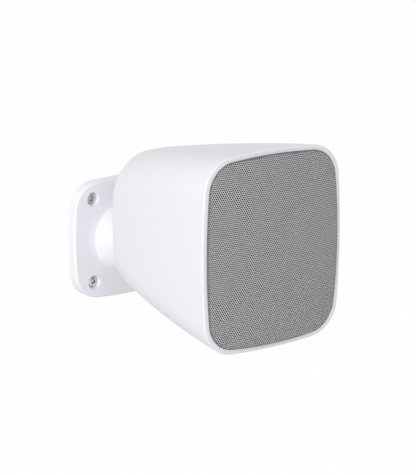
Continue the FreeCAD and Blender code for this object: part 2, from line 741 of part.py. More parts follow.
def make_cable_entry():
    outside = rear_y + grommet_flange_thickness
    inside = inner_rear_y - grommet_flange_thickness
    pieces["cable_grommet"] = turned([
        (grommet_bore_radius, inside), (grommet_flange_radius - grommet_chamfer, inside),
        (grommet_flange_radius, inner_rear_y), (grommet_neck_radius, inner_rear_y),
        (grommet_neck_radius, rear_y), (grommet_flange_radius, rear_y),
        (grommet_flange_radius - grommet_chamfer, outside), (grommet_bore_radius, outside)], grommet_axis)
    centre_y = inner_rear_y - block_size_y / 2
    body = block((block_size_x, block_size_y, block_size_z), (0, centre_y, block_height))
    screws = []
    for side in (-1, 1):
        axis = (side * block_screw_pitch / 2, block_height)
        top = inner_rear_y - block_size_y
        body = body.cut(rod(block_screw_radius, top, inner_rear_y - block_floor, axis))
        wire_y = inner_rear_y - block_floor - 1.5 * block_wire_radius
        wire_start = V(axis[0], wire_y, block_height - block_size_z / 2)
        body = body.cut(Part.makeCylinder(block_wire_radius, block_size_z, wire_start, V(0, 0, 1)))
        screws.append(rod(block_screw_radius, top, top + block_screw_length, axis))
    pieces["connection_block"] = body
    pieces["connection_screws"] = Part.makeCompound(screws)


make_cabinet()
make_grille()
make_baffle()
make_driver()
make_ball_joint()
make_bracket()
make_cable_entry()

os.makedirs("parts", exist_ok=True)
for name, shape in pieces.items():
    shape.exportStep("parts/" + name + ".step")
    print(name, len(shape.Solids), "solid(s)", "valid" if shape.isValid() else "NOT VALID",
          round(shape.Volume / 1000.0, 2), "cm3")
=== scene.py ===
# %% [markdown]
# # A wall speaker on a ball joint
# The speaker's solids were drawn first, as CAD parts, and this lesson dresses them. It loads the solids as
# a fixed frame and models the pieces whose fine detail the solids leave out: the perforated grille, and the
# screws that a hand can reach. Then it gives every piece a procedural finish and takes the picture on white.

# %% Load the solids
import math

import bmesh
import bpy
from mathutils import Matrix, Vector


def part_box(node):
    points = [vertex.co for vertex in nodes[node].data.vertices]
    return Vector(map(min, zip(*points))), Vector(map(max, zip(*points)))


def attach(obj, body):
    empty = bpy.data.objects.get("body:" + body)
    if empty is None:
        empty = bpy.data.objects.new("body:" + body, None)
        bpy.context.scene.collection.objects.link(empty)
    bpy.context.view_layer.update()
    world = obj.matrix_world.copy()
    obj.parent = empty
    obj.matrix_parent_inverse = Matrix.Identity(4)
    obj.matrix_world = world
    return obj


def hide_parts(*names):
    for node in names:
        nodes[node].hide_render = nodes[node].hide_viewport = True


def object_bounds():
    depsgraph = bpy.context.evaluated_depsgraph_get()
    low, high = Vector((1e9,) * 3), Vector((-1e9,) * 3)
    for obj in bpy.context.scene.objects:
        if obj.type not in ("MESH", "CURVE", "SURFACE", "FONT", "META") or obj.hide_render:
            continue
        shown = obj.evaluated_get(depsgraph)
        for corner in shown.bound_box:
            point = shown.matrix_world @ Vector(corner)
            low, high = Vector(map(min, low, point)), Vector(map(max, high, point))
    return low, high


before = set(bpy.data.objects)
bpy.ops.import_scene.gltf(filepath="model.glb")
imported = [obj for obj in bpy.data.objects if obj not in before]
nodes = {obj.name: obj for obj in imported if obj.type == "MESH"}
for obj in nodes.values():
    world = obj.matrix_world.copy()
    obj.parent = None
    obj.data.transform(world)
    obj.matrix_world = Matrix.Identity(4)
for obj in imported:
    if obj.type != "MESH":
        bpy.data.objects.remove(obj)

MM = 0.001
cad_low, cad_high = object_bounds()


def in_mm(values):
    """Lengths in millimetres, rounded for printing."""
    return [round(v / MM, 1) for v in values]


print("CAD box in mm", in_mm(cad_low), in_mm(cad_high))

# %% [markdown]
# ## The camera
# The picture shows the speaker from the front left and a little above, as a long lens does from over a metre
# away. A camera could be aimed by eye with a Track To constraint. Here its axes are written as three vectors
# instead, because the direction, the distance and the place of the grille's highest point in the frame were
# fitted to the picture.

# %% Find the camera's axes
view_azimuth = math.radians(-36.55)
view_elevation = math.radians(14.25)
grille_low, grille_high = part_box("grille")
speaker_axis_z = (grille_low.z + grille_high.z) / 2
apex = Vector((0, grille_low.y, speaker_axis_z))
back = Vector((
    math.sin(view_azimuth) * math.cos(view_elevation),
    -math.cos(view_azimuth) * math.cos(view_elevation),
    math.sin(view_elevation)))
right = Vector((math.cos(view_azimuth), math.sin(view_azimuth), 0))
up = back.cross(right)
print("the grille's highest point in mm", in_mm(apex))

# %% Place the camera
camera_distance = 1.21294
focal_pixels = 1858.18
long_side_pixels = 475
apex_right_of_middle = 69.53
apex_under_middle = 13.26
sensor_width = 36
pixel = camera_distance / focal_pixels
place = (apex + back * camera_distance - right * apex_right_of_middle * pixel
         + up * apex_under_middle * pixel)
bpy.ops.object.camera_add()
camera = bpy.context.object
camera.name = "camera"
camera.matrix_world = Matrix((
    (right.x, up.x, back.x, place.x),
    (right.y, up.y, back.y, place.y),
    (right.z, up.z, back.z, place.z),
    (0, 0, 0, 1)))
camera.data.sensor_width = sensor_width
camera.data.lens = focal_pixels * sensor_width / long_side_pixels
bpy.context.scene.camera = camera
print("camera at", [round(v, 3) for v in place], "lens", round(camera.data.lens, 1), "mm")

# %% [markdown]
# ## One cell of the perforated sheet
# The grille is steel sheet with staggered holes, 1.5 mm from one to the next. A texture with transparency
# could fake the holes, but it would have no edge to catch the light. Real holes are cheap if each one costs
# only a few faces: a hexagon fills the plane in this pattern, so one hexagon with a hole in it is the whole
# design. The cell starts well in front of the speaker, so that the sheet can be pressed back later.

# %% Model one hexagonal cell with its hole
hole_pitch = 1.5 * MM
row_pitch = hole_pitch * math.sqrt(3) / 2
cell_radius = hole_pitch / math.sqrt(3)
hole_radius = 0.70 * MM
half_web = (cell_radius - hole_radius) * math.cos(math.pi / 6)
blank_distance = 10 * MM
blank_y = grille_low.y - blank_distance
upright = (math.pi / 2, 0, 0)


def start_fresh():
    """Leaves edit mode and deselects everything, so that an operator acts on the new piece alone."""
    if bpy.context.object and bpy.context.object.mode != "OBJECT":
        bpy.ops.object.mode_set(mode="OBJECT")
    bpy.ops.object.select_all(action="DESELECT")


start_fresh()
bpy.ops.mesh.primitive_circle_add(
    vertices=6, radius=cell_radius, fill_type="NGON", location=(0, blank_y, 0), rotation=upright)
sheet = bpy.context.object
sheet.name = "perforated_grille"
bpy.ops.object.transform_apply(location=True, rotation=True, scale=True)
bpy.ops.object.mode_set(mode="EDIT")
bpy.ops.mesh.select_all(action="SELECT")
bpy.ops.mesh.inset(thickness=half_web, depth=0)
bpy.ops.mesh.delete(type="FACE")
bpy.ops.mesh.select_all(action="SELECT")
bpy.ops.mesh.duplicate_move(TRANSFORM_OT_translate={"value": (hole_pitch / 2, 0, row_pitch)})
bpy.ops.object.mode_set(mode="OBJECT")
print("two cells,", len(sheet.data.polygons), "faces, webs", round(2 * half_web / MM, 2), "mm wide")

# %% [markdown]
# ## From one cell to a sheet
# A punch makes the real sheet row by row. Copies could be placed by a loop, but two Array modifiers lay the
# pair of staggered cells out in columns and rows at once. The cells share their borders, so the doubles are
# merged, and the sheet is centred on the speaker's axis.

# %% Repeat the cell and merge the sheet
columns = math.ceil((grille_high.x - grille_low.x) / hole_pitch) + 2
row_pairs = math.ceil((grille_high.z - grille_low.z) / (2 * row_pitch)) + 2
cell_merge = 0.02 * MM
for count, step in ((columns, (hole_pitch, 0, 0)), (row_pairs, (0, 0, 2 * row_pitch))):
    bpy.ops.object.modifier_add(type="ARRAY")
    array = sheet.modifiers[-1]
    array.count = count
    array.use_relative_offset = False
    array.use_constant_offset = True
    array.constant_offset_displace = step
    bpy.ops.object.modifier_apply(modifier=array.name)
middle_x = (columns - 1) // 2 * hole_pitch
middle_z = (row_pairs - 1) // 2 * 2 * row_pitch
bpy.ops.object.mode_set(mode="EDIT")
bpy.ops.mesh.select_all(action="SELECT")
bpy.ops.mesh.remove_doubles(threshold=cell_merge)
bpy.ops.transform.translate(value=(-middle_x, 0, speaker_axis_z - middle_z))
bpy.ops.object.mode_set(mode="OBJECT")
print("sheet of", columns * row_pairs * 2, "cells,", len(sheet.data.vertices), "points")

# %% [markdown]
# ## Trim the sheet to the front's outline
# The front's outline is a rectangle with bowed sides and round corners. A Boolean with the solid could trim
# the sheet, but it is slow on thousands of cells. The outline is convex, so a row of straight cuts that each
# touch it does the same, and the holes at the border are cut through as in a real blank. Each cut lies where
# the solid grille reaches furthest in that direction, less the radius of the folded edge. The sides are
# nearly straight and need cuts close together in direction, the corners don't.

# %% Cut along the outline
edge_bend = 0.5 * MM
cut_merge = 0.0001 * MM
side_degrees = range(-7, 8)
corner_degrees = range(10, 84, 4)
solid_points = [v.co for v in nodes["grille"].data.vertices]
cuts = []
for quarter in range(4):
    for degrees in (*side_degrees, *corner_degrees):
        angle = math.radians(quarter * 90 + degrees)
        out = Vector((math.cos(angle), 0, math.sin(angle)))
        cuts.append((out, max(p.dot(out) for p in solid_points) - edge_bend))


def trim():
    """Cuts the active blank along the outline."""
    bpy.ops.object.mode_set(mode="EDIT")
    for out, reach in cuts:
        bpy.ops.mesh.select_all(action="SELECT")
        bpy.ops.mesh.bisect(plane_co=out * reach, plane_no=out, clear_outer=True, threshold=cut_merge)
    bpy.ops.object.mode_set(mode="OBJECT")


trim()
print(len(cuts), "cuts leave", len(sheet.data.polygons), "faces")

# %% [markdown]
# ## Crown the sheet
# A press gives the real sheet its crown. A lattice could bend the flat sheet, but it would have to be fitted
# by eye. A Shrinkwrap modifier works like the press: it pushes the sheet along one axis until every point
# lies on the solid grille's face.

# %% Press the sheet onto the solid's crown


def press(blank):
    """Pushes the active blank straight back until it lies on the solid grille's face."""
    bpy.ops.object.modifier_add(type="SHRINKWRAP")
    wrap = blank.modifiers[-1]
    wrap.target = nodes["grille"]
    wrap.wrap_method = "PROJECT"
    wrap.use_project_y = True
    wrap.use_positive_direction = True
    wrap.use_negative_direction = False
    bpy.ops.object.modifier_apply(modifier=wrap.name)


press(sheet)
depths = [v.co.y for v in sheet.data.vertices]
print("crown from and to, in mm", in_mm((min(depths), max(depths))))

# %% [markdown]
# ## Depth of the holes
# The sheet is 0.3 mm thick. A Solidify modifier would thicken all of it and double its faces. Extruding only
# the holes' edges backwards gives the thickness where it shows. The edges on the outline itself are left
# alone, because the folded border covers them.

# %% Extrude the holes
sheet_thickness = 0.3 * MM
outline_tolerance = 0.005 * MM


def select_open_edges(piece, outer):
    """Selects the edges with one face that lie on the outline (outer) or off it."""
    bpy.ops.mesh.select_mode(type="EDGE")
    bpy.ops.mesh.select_all(action="DESELECT")
    mesh = bmesh.from_edit_mesh(piece.data)
    for edge in mesh.edges:
        if edge.is_boundary:
            beyond = min(max(v.co.dot(out) - reach for out, reach in cuts) for v in edge.verts)
            edge.select_set((beyond > -outline_tolerance) == outer)
    bmesh.update_edit_mesh(piece.data)


bpy.ops.object.mode_set(mode="EDIT")
select_open_edges(sheet, outer=False)
bpy.ops.mesh.extrude_edges_move(TRANSFORM_OT_translate={"value": (0, sheet_thickness, 0)})
bpy.ops.object.mode_set(mode="OBJECT")
print("holes", round(sheet_thickness / MM, 2), "mm deep")

# %% [markdown]
# ## The folded border
# Such a grille is usually folded back all round and pushed into the front. Folding the perforated sheet
# itself would leave open slots where the outline passes through holes. So the fold is modelled on a plain
# blank that is trimmed with the same cuts. A narrow flange is inset, the middle deleted and the flange
# pressed like the sheet, a hair in front of it. In the picture the holes seem to run right up to the rim,
# where a plain border would show as a pale line. So the border stays a piece of its own and gets a dark
# paint, which paints onto the fold the dark holes and the shadow in the gap along the rim: in part painted
# shade.

# %% Make a plain border
flange = 0.05 * MM
flange_lift = 0.02 * MM
start_fresh()
bpy.ops.mesh.primitive_plane_add(
    size=2 * (grille_high.z - grille_low.z), location=(0, blank_y, speaker_axis_z), rotation=upright)
border = bpy.context.object
border.name = "grille_border"
bpy.ops.object.transform_apply(location=True, rotation=True, scale=True)
trim()
bpy.ops.object.mode_set(mode="EDIT")
bpy.ops.mesh.select_all(action="SELECT")
bpy.ops.mesh.inset(thickness=flange, depth=0)
bpy.ops.mesh.delete(type="FACE")
bpy.ops.object.mode_set(mode="OBJECT")
press(border)
bpy.ops.object.mode_set(mode="EDIT")
bpy.ops.mesh.select_all(action="SELECT")
bpy.ops.transform.translate(value=(0, -flange_lift, 0))
bpy.ops.object.mode_set(mode="OBJECT")
print("flange of", len(border.data.polygons), "faces")

# %% [markdown]
# The fold itself is a quarter of a round. Its outer edges are extruded in small steps, each a little further
# out and back, and one long step then runs back to the baffle.

# %% Fold the border back
fold_steps = 5
skirt = 5.0 * MM
bpy.ops.object.mode_set(mode="EDIT")
select_open_edges(border, outer=True)
half_width = grille_high.x - edge_bend
half_height = (grille_high.z - grille_low.z) / 2 - edge_bend
gone_out = 0.0
gone_back = 0.0
for i in range(1, fold_steps + 1):
    turn = math.pi / 2 * i / fold_steps
    go_out = edge_bend * math.sin(turn) - gone_out
    go_back = edge_bend * (1 - math.cos(turn)) - gone_back
    bpy.ops.mesh.extrude_edges_move(TRANSFORM_OT_translate={"value": (0, go_back, 0)})
    wider = (half_width + gone_out + go_out) / (half_width + gone_out)
    taller = (half_height + gone_out + go_out) / (half_height + gone_out)
    bpy.ops.transform.resize(value=(wider, 1, taller), center_override=(0, 0, speaker_axis_z))
    gone_out += go_out
    gone_back += go_back
bpy.ops.mesh.extrude_edges_move(TRANSFORM_OT_translate={"value": (0, skirt, 0)})
bpy.ops.object.mode_set(mode="OBJECT")
print("border of", len(border.data.polygons), "faces")

# %% Smooth the grille and let it ride on the cabinet
grille_smooth_angle = math.radians(40)
for piece in (sheet, border):
    start_fresh()
    piece.select_set(True)
    bpy.context.view_layer.objects.active = piece
    bpy.ops.object.shade_smooth_by_angle(angle=grille_smooth_angle)
    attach(piece, "cabinet")
    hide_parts("grille")
    piece.data.calc_loop_triangles()
    print(piece.name, "has", len(piece.data.loop_triangles), "triangles")

# %% [markdown]
# ## Turn a screw
# Four countersunk screws hold the plate on the wall, and three small pan-head screws hold the neck from
# behind. A screw is a turned shape, so it could be spun from a profile. Here a disc is extruded ring by ring
# instead, as a bar is turned down on a lathe, which keeps the profile a short list of radii.

# %% Helper that turns a screw
screw_facets = 32


def turn_down(name, rings):
    """Extrudes a disc along Y through rings of (radius, y) and closes the last one to a point."""
    start_fresh()
    radius, y = rings[0]
    facing = math.pi / 2 if rings[-1][1] > y else -math.pi / 2
    bpy.ops.mesh.primitive_circle_add(
        vertices=screw_facets, radius=radius, fill_type="NGON", location=(0, y, 0), rotation=(facing, 0, 0))
    screw = bpy.context.object
    screw.name = name
    bpy.ops.object.transform_apply(location=True, rotation=True, scale=True)
    bpy.ops.object.mode_set(mode="EDIT")
    bpy.ops.mesh.select_mode(type="EDGE")
    bpy.ops.mesh.select_all(action="SELECT")
    for next_radius, next_y in rings[1:]:
        bpy.ops.mesh.extrude_edges_move(TRANSFORM_OT_translate={"value": (0, next_y - y, 0)})
        scale = next_radius / radius
        bpy.ops.transform.resize(value=(scale, 1, scale), center_override=(0, next_y, 0))
        radius, y = next_radius, next_y
    bpy.ops.mesh.merge(type="CENTER")
    bpy.ops.mesh.select_all(action="SELECT")
    bpy.ops.mesh.normals_make_consistent(inside=False)
    bpy.ops.object.mode_set(mode="OBJECT")
    return screw


print("screws are turned with", screw_facets, "facets")

# %% [markdown]
# ## The cross recess
# A punch leaves a cross that narrows towards its bottom. It could be painted by a material, but then it would
# cast no shade. A cutter is modelled like the punch instead: a cube with four arms extruded from it and its
# far end made smaller. A Boolean modifier then takes it out of the head.

# %% Helpers that cut the recess
recess_taper = 0.5
nearly_one = 0.9


def select_facing(piece, way, beyond=0.0):
    """Selects the faces that look along way and have their middle further than beyond from the origin."""
    bpy.ops.mesh.select_all(action="DESELECT")
    mesh = bmesh.from_edit_mesh(piece.data)
    for face in mesh.faces:
        far = face.calc_center_median().length > beyond
        face.select_set(far and face.normal.dot(way) > nearly_one)
    bmesh.update_edit_mesh(piece.data)


def cut_cross(screw, top_y, inward, arm, half_width, depth):
    """Sinks a tapered cross into the screw's head; inward is +1 or -1, the way it goes along Y."""
    start_fresh()
    bpy.ops.mesh.primitive_cube_add(size=2 * half_width, location=(0, 0, 0))
    cutter = bpy.context.object
    bpy.ops.object.mode_set(mode="EDIT")
    bpy.ops.mesh.select_mode(type="FACE")
    for way in (Vector((1, 0, 0)), Vector((-1, 0, 0)), Vector((0, 0, 1)), Vector((0, 0, -1))):
        select_facing(cutter, way, nearly_one * half_width)
        bpy.ops.mesh.extrude_region_move(TRANSFORM_OT_translate={"value": way * (arm - half_width)})
    bpy.ops.mesh.select_all(action="SELECT")
    bpy.ops.transform.resize(value=(1, depth / half_width, 1), center_override=(0, 0, 0))
    select_facing(cutter, Vector((0, inward, 0)))
    bpy.ops.transform.resize(value=(recess_taper, 1, recess_taper), center_override=(0, 0, 0))
    bpy.ops.mesh.select_all(action="SELECT")
    bpy.ops.transform.translate(value=(0, top_y, 0))
    start_fresh()
    bpy.context.view_layer.objects.active = screw
    screw.select_set(True)
    bpy.ops.object.modifier_add(type="BOOLEAN")
    cut = screw.modifiers[-1]
    cut.operation = "DIFFERENCE"
    cut.solver = "EXACT"
    cut.object = cutter
    bpy.ops.object.modifier_apply(modifier=cut.name)
    bpy.data.objects.remove(cutter)


print("the recess narrows to", recess_taper)

# %% [markdown]
# ## Copies of a screw
# Screws of one kind are alike, but no two stop at the same turn. So one is modelled and copied, each copy
# with its own mesh and its own turn, and the copies are joined into one set.

# %% Helper that copies a screw to its places
screw_smooth_angle = math.radians(35)


def copies_joined(screw, places):
    """One object made of a copy of the screw at each (x, z, turn), with the first screw used up."""
    copies = []
    for x, z, turn in places:
        start_fresh()
        bpy.context.view_layer.objects.active = screw
        screw.select_set(True)
        bpy.ops.object.duplicate()
        copy = bpy.context.object
        copy.rotation_euler = (0, math.radians(turn), 0)
        copy.location = (x, 0, z)
        bpy.ops.object.transform_apply(location=True, rotation=True, scale=True)
        copies.append(copy)
    name = screw.name
    bpy.data.objects.remove(screw)
    start_fresh()
    for copy in copies:
        copy.select_set(True)
    bpy.context.view_layer.objects.active = copies[0]
    bpy.ops.object.join()
    joined = bpy.context.object
    joined.name = name
    bpy.ops.object.shade_smooth_by_angle(angle=screw_smooth_angle)
    return joined


print("edges over", round(math.degrees(screw_smooth_angle)), "degrees stay sharp on the screws")

# %% [markdown]
# ## The wall screws
# The countersunk head sits in a round recess of the plate and has a flat dome with a cross in it. Its profile
# is a list of radii and depths, in millimetres. The shank follows, plain inside the plate and thinner behind
# it, where the thread goes, and ends in a point.

# %% Turn one wall screw
screw_low, screw_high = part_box("wall_screws")
head_top = screw_low.y
tip_y = screw_high.y
head_radius = 3.85 * MM
head_dome = [(1.6, 0.0), (2.6, 0.18), (3.4, 0.4), (3.75, 0.58)]
dome_depth = 0.75 * MM
rim_depth = 1.1 * MM
head_depth = 3.25 * MM
shank_radius = 1.7 * MM
shank_end_y = 0.4 * MM
core_radius = 1.45 * MM
core_start_y = 0.8 * MM
point_length = 4 * MM
point_radius = 0.2 * MM
wall_screw = turn_down(
    "wall_screw_set",
    [(radius * MM, head_top + depth * MM) for radius, depth in head_dome]
    + [(head_radius, head_top + dome_depth), (head_radius, head_top + rim_depth)]
    + [(shank_radius, head_top + head_depth), (shank_radius, shank_end_y), (core_radius, core_start_y)]
    + [(core_radius, tip_y - point_length), (point_radius, tip_y)])
cut_cross(wall_screw, head_top, inward=1, arm=2.4 * MM, half_width=0.55 * MM, depth=2.1 * MM)
print("one wall screw", len(wall_screw.data.polygons), "faces")

# %% [markdown]
# The thread is a ridge that winds round the core. It could be a row of rings, but a real one climbs. A Screw
# modifier winds a small diamond profile round the axis and lifts it by one pitch each turn.

# %% Wind the thread round the core
thread_pitch = 1.7 * MM
thread_height = 0.5 * MM
thread_start_y = 1.4 * MM
thread_turns = 5
thread_steps = 20
thread_merge = 0.001 * MM
start_fresh()
bpy.ops.mesh.primitive_circle_add(
    vertices=4, radius=thread_height, location=(core_radius, thread_start_y, 0))
thread = bpy.context.object
bpy.ops.object.transform_apply(location=True, rotation=True, scale=True)
bpy.ops.object.modifier_add(type="SCREW")
wind = thread.modifiers[-1]
wind.axis = "Y"
wind.screw_offset = thread_pitch
wind.iterations = thread_turns
wind.steps = thread_steps
wind.render_steps = thread_steps
bpy.ops.object.modifier_apply(modifier=wind.name)
bpy.ops.object.mode_set(mode="EDIT")
bpy.ops.mesh.select_all(action="SELECT")
bpy.ops.mesh.remove_doubles(threshold=thread_merge)
bpy.ops.mesh.fill_holes(sides=8)
bpy.ops.mesh.normals_make_consistent(inside=False)
print("thread of", thread_turns, "turns")

# %% Copy the screw to the plate's four corners
start_fresh()
thread.select_set(True)
wall_screw.select_set(True)
bpy.context.view_layer.objects.active = wall_screw
bpy.ops.object.join()
across = screw_high.x - head_radius
along = screw_high.z - head_radius
corners = ((-across, along), (-across, -along), (across, along), (across, -along))
wall_screw_turns = (20, 62, 8, 40)
wall_screws = copies_joined(wall_screw, [(*c, turn) for c, turn in zip(corners, wall_screw_turns)])
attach(wall_screws, "wall_mount")
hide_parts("wall_screws")
print("wall screws", len(wall_screws.data.polygons), "faces")

# %% [markdown]
# ## The neck's screws
# Three pan-head screws sit in pockets of the plate's back and pull the neck against it. Their heads look at
# the wall, so they show only when the bracket is off it. They are turned with the same helper, from the head
# towards the front, and copied round the hub.

# %% Model one pan-head screw and copy it round the hub
neck_low, neck_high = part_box("neck_screws")
pan_top = neck_high.y
pan_radius = 2.4 * MM
pan_dome = [(1.2, 0.0), (1.75, 0.12), (2.15, 0.45), (2.36, 0.95), (2.4, 1.3)]
pan_height = 1.8 * MM
seat_y = pan_top - pan_height
stem_radius = 1.25 * MM
stem_tip_length = 1.25 * MM
stem_end_y = neck_low.y + stem_tip_length
stem_tip_radius = 0.4 * MM
neck_screw = turn_down(
    "neck_screw_set",
    [(radius * MM, pan_top - depth * MM) for radius, depth in pan_dome]
    + [(pan_radius, seat_y), (stem_radius, seat_y), (stem_radius, stem_end_y)]
    + [(stem_tip_radius, neck_low.y)])
cut_cross(neck_screw, pan_top, inward=-1, arm=1.35 * MM, half_width=0.28 * MM, depth=1.1 * MM)
hub_radius = neck_high.z - pan_radius
neck_screw_turns = (10, 55, 31)
places = []
for i, turn in enumerate(neck_screw_turns):
    angle = math.radians(90 + 120 * i)
    places.append((hub_radius * math.cos(angle), hub_radius * math.sin(angle), turn))
neck_screws = copies_joined(neck_screw, places)
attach(neck_screws, "wall_mount")
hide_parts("neck_screws")
print("neck screws", len(neck_screws.data.polygons), "faces")

# %% [markdown]
# ## Patterns for the finishes
# A finish is a colour that varies a little, a gloss that varies with it, and a relief too fine to model. Each
# could be wired again in every material. Instead each kind of variation is built once, as a shader node group
# with a Tone and a Height between 0 and 1, and the finishes below choose a group and their own values. All
# read Object coordinates, which are metres here, so a noise scale of 1000 makes features about a millimetre
# wide.

# %% Helpers that open and close a node group


def open_group(name, sizes):
    """A new group with Value inputs from sizes and the outputs Tone and Height."""
    group = bpy.data.node_groups.new(name, "ShaderNodeTree")
    for label, value in sizes.items():
        socket = group.interface.new_socket(name=label, in_out="INPUT", socket_type="NodeSocketFloat")
        socket.default_value = value
    for label in ("Tone", "Height"):
        group.interface.new_socket(name=label, in_out="OUTPUT", socket_type="NodeSocketFloat")
    entry = group.nodes.new("NodeGroupInput")
    leave = group.nodes.new("NodeGroupOutput")
    coords = group.nodes.new("ShaderNodeTexCoord")
    return group, entry, leave, coords.outputs["Object"]


def close_group(group, leave, tone, height):
    """Joins the finished pattern to the group's outputs."""
    group.links.new(tone, leave.inputs["Tone"])
    group.links.new(height, leave.inputs["Height"])
    print("group", group.name, "has", len(group.nodes), "nodes")


print("group helpers ready")

# %% Helpers that add nodes to a group


def noise(group, vector, scale, detail, roughness=0.5):
    """A Noise texture; scale is a socket of the group's input."""
    node = group.nodes.new("ShaderNodeTexNoise")
    group.links.new(vector, node.inputs["Vector"])
    group.links.new(scale, node.inputs["Scale"])
    node.inputs["Detail"].default_value = detail
    node.inputs["Roughness"].default_value = roughness
    return node.outputs[0]


def calc(group, operation, *values):
    """A Math node; each value is a number or a socket."""
    node = group.nodes.new("ShaderNodeMath")
    node.operation = operation
    for socket, value in zip(node.inputs, values):
        if isinstance(value, (int, float)):
            socket.default_value = value
        else:
            group.links.new(value, socket)
    return node.outputs[0]


def mixed(group, first, second, first_share):
    """A share of the first pattern and the rest of the second."""
    rest = calc(group, "MULTIPLY", second, 1 - first_share)
    return calc(group, "MULTIPLY_ADD", first, first_share, rest)


def stretched(group, vector, scale):
    """The coordinates scaled along each axis, which draws a pattern out where the scale is small."""
    node = group.nodes.new("ShaderNodeMapping")
    group.links.new(vector, node.inputs["Vector"])
    node.inputs["Scale"].default_value = scale
    return node.outputs[0]


print("node helpers ready")

# %% [markdown]
# Moulded plastic copies the fine grain of a spark-eroded mould. Over it lies a slow waviness of tone, as
# thick walls cool unevenly. A Voronoi pattern would give pebbles, so two Noise textures are used, a fine and
# a wide one, and only the fine one goes into the relief.

# %% The grain of moulded plastic
grain_group, entry, leave, where = open_group("moulded_grain", {"Grain scale": 2600.0, "Cloud scale": 24.0})
grain = noise(grain_group, where, entry.outputs["Grain scale"], detail=3.0, roughness=0.6)
cloud = noise(grain_group, where, entry.outputs["Cloud scale"], detail=2.0)
close_group(grain_group, leave, mixed(grain_group, cloud, grain, first_share=0.7), grain)

# %% [markdown]
# Powder paint melts into a skin with a soft orange peel and tiny specks of pigment. The peel is a smooth
# noise that lifts the surface, and the specks are a finer noise that only tints it.

# %% The orange peel of powder paint
paint_group, entry, leave, where = open_group("powder_paint", {"Peel scale": 900.0, "Speck scale": 5200.0})
peel = noise(paint_group, where, entry.outputs["Peel scale"], detail=1.0)
speck = noise(paint_group, where, entry.outputs["Speck scale"], detail=1.0)
close_group(paint_group, leave, mixed(paint_group, speck, peel, first_share=0.6), peel)

# %% [markdown]
# Cloth is two sets of threads that pass over and under each other. Modelled threads would be far too many.
# Two Wave textures across each other, one along X and one along Z, make the crowns of the threads, and a
# fine noise makes them fuzzy.

# %% The weave of cloth
weave_group, entry, leave, where = open_group("woven_threads", {"Thread scale": 700.0, "Fuzz scale": 4000.0})
thread_wobble = 0.6
wobble_scale = 3.0
least_tone = 0.4
threads = []
for direction in ("X", "Z"):
    wave = weave_group.nodes.new("ShaderNodeTexWave")
    wave.bands_direction = direction
    wave.inputs["Distortion"].default_value = thread_wobble
    wave.inputs["Detail Scale"].default_value = wobble_scale
    weave_group.links.new(where, wave.inputs["Vector"])
    weave_group.links.new(entry.outputs["Thread scale"], wave.inputs["Scale"])
    threads.append(wave.outputs["Fac"])
crossing = calc(weave_group, "MAXIMUM", *threads)
fuzz = noise(weave_group, where, entry.outputs["Fuzz scale"], detail=2.0)
tone = calc(weave_group, "MULTIPLY", crossing, calc(weave_group, "ADD", fuzz, least_tone))
close_group(weave_group, leave, tone, crossing)

# %% [markdown]
# Turned and plated metal keeps the tool's fine rings, and handling leaves faint clouds in its gloss. The
# rings lie across the speaker's Y axis, so a noise that is drawn out in the other two directions makes them.

# %% The rings of turned metal
ring_group, entry, leave, where = open_group("turned_rings", {"Ring scale": 2400.0, "Cloud scale": 260.0})
ring_draw = 0.08
across_y = stretched(ring_group, where, (ring_draw, 1.0, ring_draw))
rings = noise(ring_group, across_y, entry.outputs["Ring scale"], detail=2.0)
cloud = noise(ring_group, where, entry.outputs["Cloud scale"], detail=3.0)
close_group(ring_group, leave, mixed(ring_group, cloud, rings, first_share=0.5), rings)

# %% [markdown]
# Pressed paper and board show short fibres that lie every way. Noise that is drawn out along X and along Z,
# with the higher of the two kept, has that look. A wider noise adds the clumps of the pulp.

# %% The fibres of paper and board
fibre_sizes = {"Fibre scale": 1800.0, "Clump scale": 160.0}
fibre_draw = 0.15
fibre_group, entry, leave, where = open_group("pressed_fibres", fibre_sizes)
along_x = stretched(fibre_group, where, (fibre_draw, 1.0, 1.0))
along_z = stretched(fibre_group, where, (1.0, 1.0, fibre_draw))
lying = noise(fibre_group, along_x, entry.outputs["Fibre scale"], detail=2.0)
standing = noise(fibre_group, along_z, entry.outputs["Fibre scale"], detail=2.0)
fibres = calc(fibre_group, "MAXIMUM", lying, standing)
clumps = noise(fibre_group, where, entry.outputs["Clump scale"], detail=3.0)
close_group(fibre_group, leave, mixed(fibre_group, fibres, clumps, first_share=0.6), fibres)

# %% [markdown]
# ## A finish from a pattern
# Every material has the same skeleton, so a helper wires it. The pattern's Tone chooses between two near
# colours and between two roughness values, and its Height goes through a Bump node. What is the same all over
# the piece, such as the metal share, stays on the shader's own sockets.

# %% Helpers that make a material and put it on
MIX_FACTOR, MIX_A, MIX_B, MIX_RESULT = 0, 6, 7, 2  # a Mix node's sockets for colours
bump_strength = 0.5


